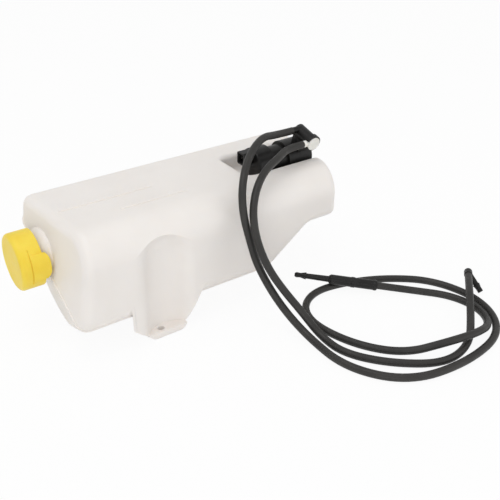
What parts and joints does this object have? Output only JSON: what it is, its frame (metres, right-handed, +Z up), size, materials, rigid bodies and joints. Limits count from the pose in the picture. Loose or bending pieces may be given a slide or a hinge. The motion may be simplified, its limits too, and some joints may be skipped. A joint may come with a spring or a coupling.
{
  "type": "windscreen washer reservoir",
  "caption": "Blow-moulded translucent washer fluid tank with a side filler cap, a motor pump lying in its top and hoses trailing from the pump's valve.",
  "frame": {"origin": "bottom centre of the tank, cap and pump, without the hoses, on the bench", "axes": "+X from the filler cap to the pump end, +Y from the scalloped front face to the back, +Z up"},
  "size_m": [0.4163, 0.3261, 0.1616],
  "materials": {
    "natural": "milky translucent, blow-moulded",
    "yellow": "satin",
    "black_rubber": "matte",
    "black_plastic": "satin",
    "ivory": "satin",
    "hose": "semi-matte",
    "steel": "satin",
    "magnet": "dull ferrite grey",
    "bronze": "sintered, dull",
    "copper": "lacquered",
    "carbon": "matte",
    "card": "phenolic brown",
    "nylon": "matte",
    "tinned": "tinned"
  },
  "bodies": {
    "tank": {"tank": "natural", "pump_body": "black_plastic", "inlet_cover": "black_plastic", "pump_grommet": "black_rubber", "inlet_strainer": "nylon", "motor_end_cap": "black_plastic", "terminals": "tinned", "outlet_cap": "ivory", "motor_can": "steel", "motor_magnets": "magnet", "rear_bush": "bronze", "front_bush": "bronze", "brushes": "carbon", "brush_card": "card", "shaft_seal": "black_rubber", "rear_hose": "hose", "front_hose": "hose", "straight_connector": "black_plastic", "elbow_connector": "black_plastic"},
    "cap": {"filler_cap": "yellow", "cap_gasket": "black_rubber"},
    "rotor": {"motor_shaft": "steel", "armature_core": "steel", "windings": "copper", "commutator": "copper", "impeller": "nylon"},
    "valve": {"valve_diaphragm": "black_rubber"}
  },
  "joints": [
    {"name": "cap_pull", "type": "slide", "parent": "tank", "child": "cap", "axis": [-1, 0, 0], "range_m": [0, 0.035]},
    {"name": "rotor_spin", "type": "hinge", "parent": "tank", "child": "rotor", "pos_m": [0.1, -0.006, 0.121], "axis": [1, 0, 0], "continuous": true},
    {"name": "valve_shift", "type": "slide", "parent": "tank", "child": "valve", "axis": [0, 0.9632, 0.2689], "range_m": [-0.0008, 0.0008]}
  ]
}
